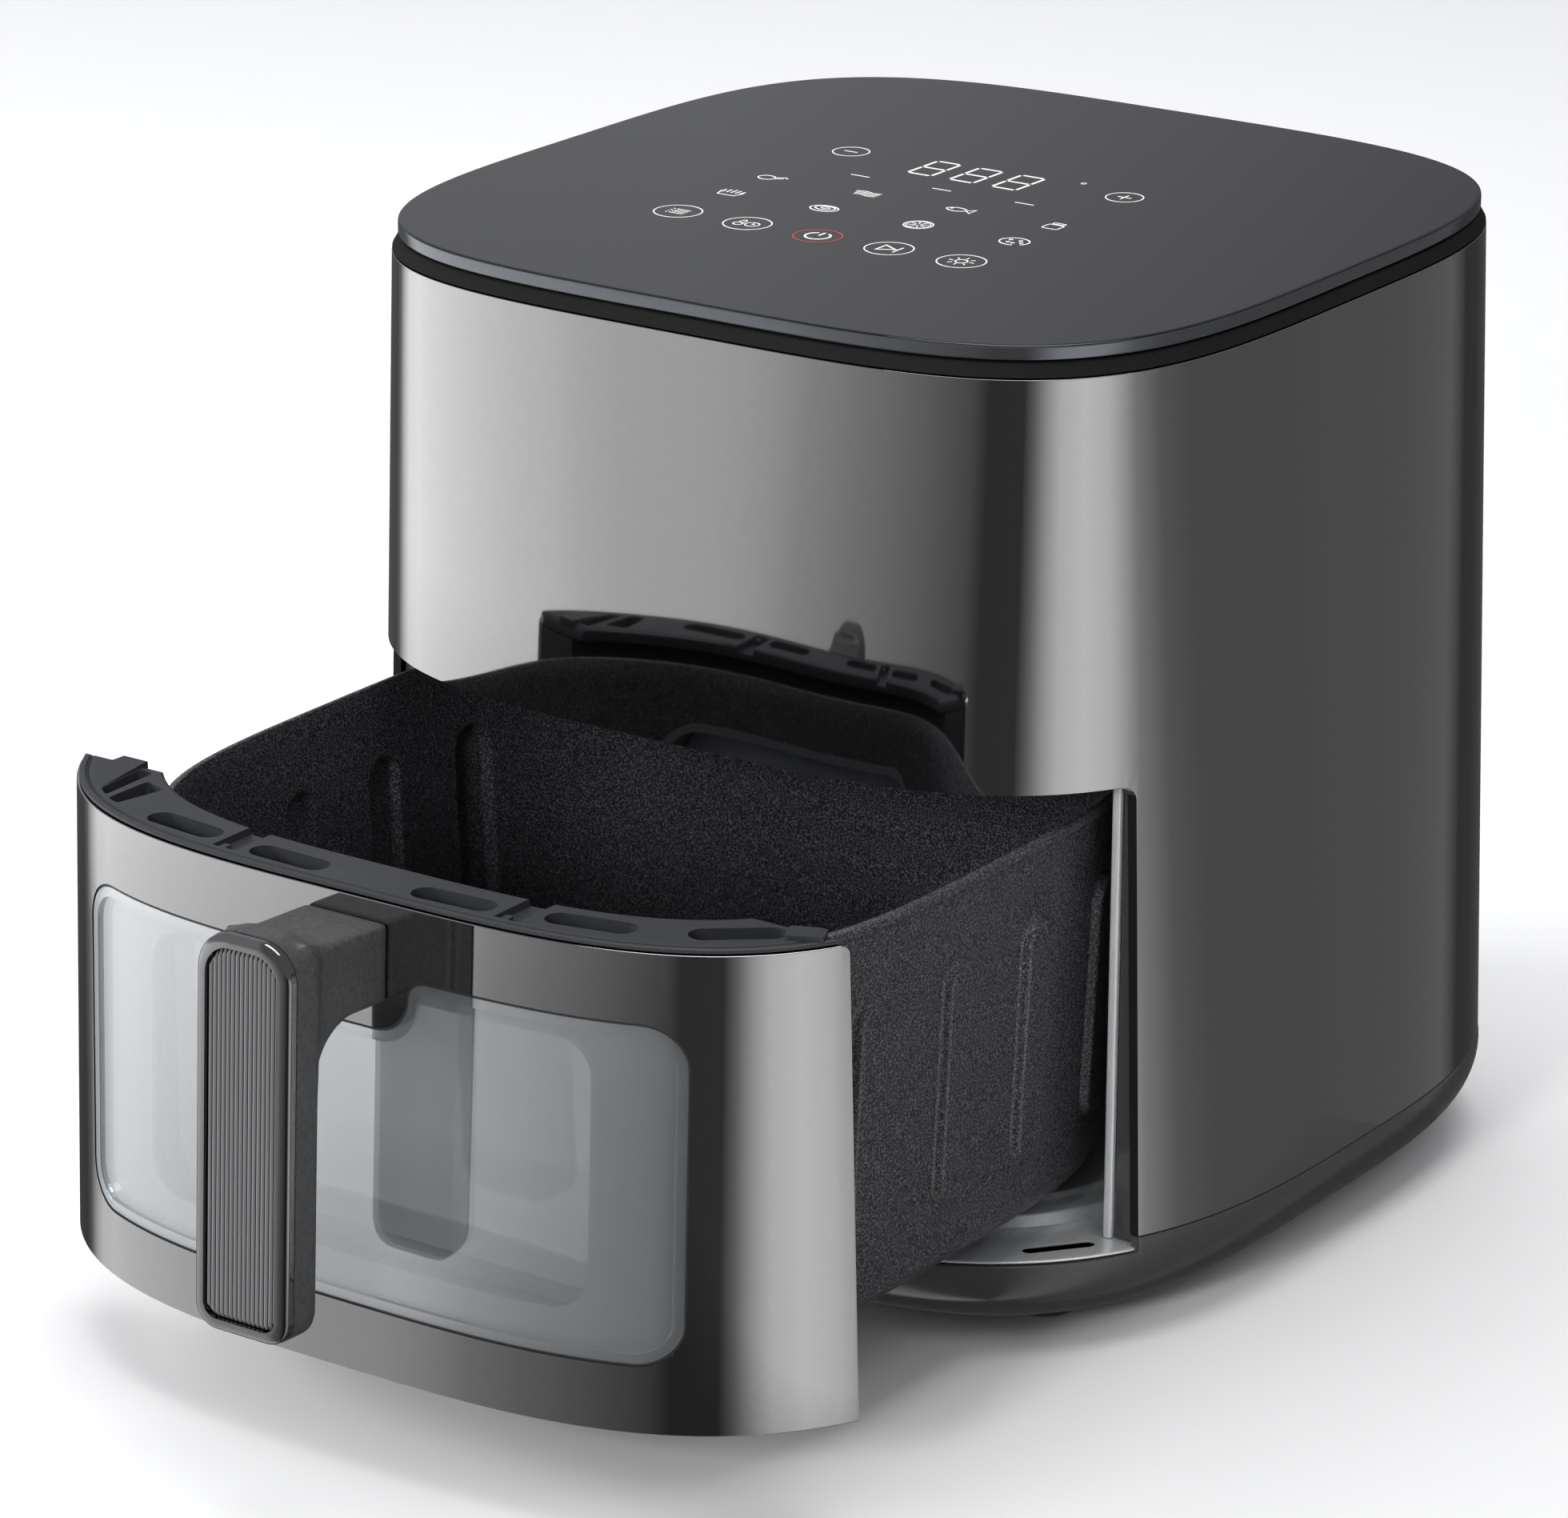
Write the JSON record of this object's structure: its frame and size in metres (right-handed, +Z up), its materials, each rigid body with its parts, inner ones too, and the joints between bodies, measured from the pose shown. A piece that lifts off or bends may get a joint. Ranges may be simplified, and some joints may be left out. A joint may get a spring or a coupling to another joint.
{
  "type": "air fryer",
  "caption": "Rounded-square countertop air fryer with a pull-out drawer, glass window, bar handle and flat touch panel on top.",
  "frame": {"origin": "bottom centre of the whole object's box at rest, with the drawer standing open as stored, on the surface the feet stand on", "axes": "+Z up, +X to the right seen from the front, -Y towards the user: the drawer slides out along -Y"},
  "size_m": [0.3304, 0.5408, 0.3255],
  "materials": {
    "gunmetal": "gloss metallic gunmetal",
    "black_gloss": "gloss",
    "lid_glass": "gloss slate-grey glass with white printed symbols",
    "black_plastic": "fine matte",
    "cavity_steel": "bare aluminised steel",
    "heater_steel": "heat-tinted sheath",
    "motor_steel": "plated",
    "circuit": "solder-mask green",
    "rubber": "matte",
    "screw_steel": "zinc plated",
    "aluminium": "pressed sheet",
    "clear_glass": "clear, polished",
    "silicone": "soft matte",
    "nonstick": "speckled non-stick coating",
    "grip_plastic": "soft satin",
    "dark_chrome": "black chrome",
    "grip_insert": "satin, ribbed"
  },
  "bodies": {
    "housing": {"outer_shell": "gunmetal", "base_tray": "black_gloss", "top_panel": "lid_glass", "lid_carrier": "black_plastic", "fascia_rail": "black_plastic", "cavity_liner": "cavity_steel", "cavity_floor_plate": "cavity_steel", "heating_element": "heater_steel", "heater_guard": "cavity_steel", "fan_motor": "motor_steel", "motor_bracket": "cavity_steel", "control_board": "circuit", "display_module": "black_plastic", "power_board": "circuit", "temperature_sensor": "cavity_steel", "drawer_switch": "black_plastic", "rear_vent_cover": "black_plastic", "cord_gland": "rubber", "element_clip_1": "cavity_steel", "element_clip_2": "cavity_steel", "element_clip_3": "cavity_steel", "opening_jamb_left": "black_plastic", "opening_jamb_right": "black_plastic", "cavity_edge_left": "cavity_steel", "cavity_edge_right": "cavity_steel", "foot_front_left": "rubber", "foot_front_right": "rubber", "foot_rear_left": "rubber", "foot_rear_right": "rubber", "base_screw_front_left": "screw_steel", "base_screw_front_right": "screw_steel", "base_screw_rear_left": "screw_steel", "base_screw_rear_right": "screw_steel"},
    "fan_rotor": {"convection_fan": "aluminium", "motor_shaft": "screw_steel", "cooling_fan": "black_plastic"},
    "drawer": {"drawer_front": "gunmetal", "drawer_inner_frame": "black_plastic", "drawer_collar": "black_plastic", "window_outer": "clear_glass", "window_gasket": "silicone", "window_tunnel": "black_plastic", "window_inner": "clear_glass", "pan": "nonstick", "drawer_magnet": "screw_steel", "handle_body": "grip_plastic", "handle_frame": "dark_chrome", "handle_insert": "grip_insert", "handle_bracket": "screw_steel", "handle_screw_left": "screw_steel", "handle_screw_right": "screw_steel"},
    "crisper": {"crisper_plate": "nonstick", "lift_loop": "screw_steel", "crisper_bumper_1": "silicone", "crisper_bumper_2": "silicone", "crisper_bumper_3": "silicone", "crisper_bumper_4": "silicone"}
  },
  "joints": [
    {"name": "drawer_slide", "type": "slide", "parent": "housing", "child": "drawer", "axis": [0, -1, 0], "range_m": [-0.156, 0.1]},
    {"name": "crisper_lift", "type": "slide", "parent": "drawer", "child": "crisper", "axis": [0, 0, 1], "range_m": [0, 0.06]},
    {"name": "fan_spin", "type": "hinge", "parent": "housing", "child": "fan_rotor", "pos_m": [0, 0.10391, 0.245], "axis": [0, 0, 1], "continuous": true}
  ]
}
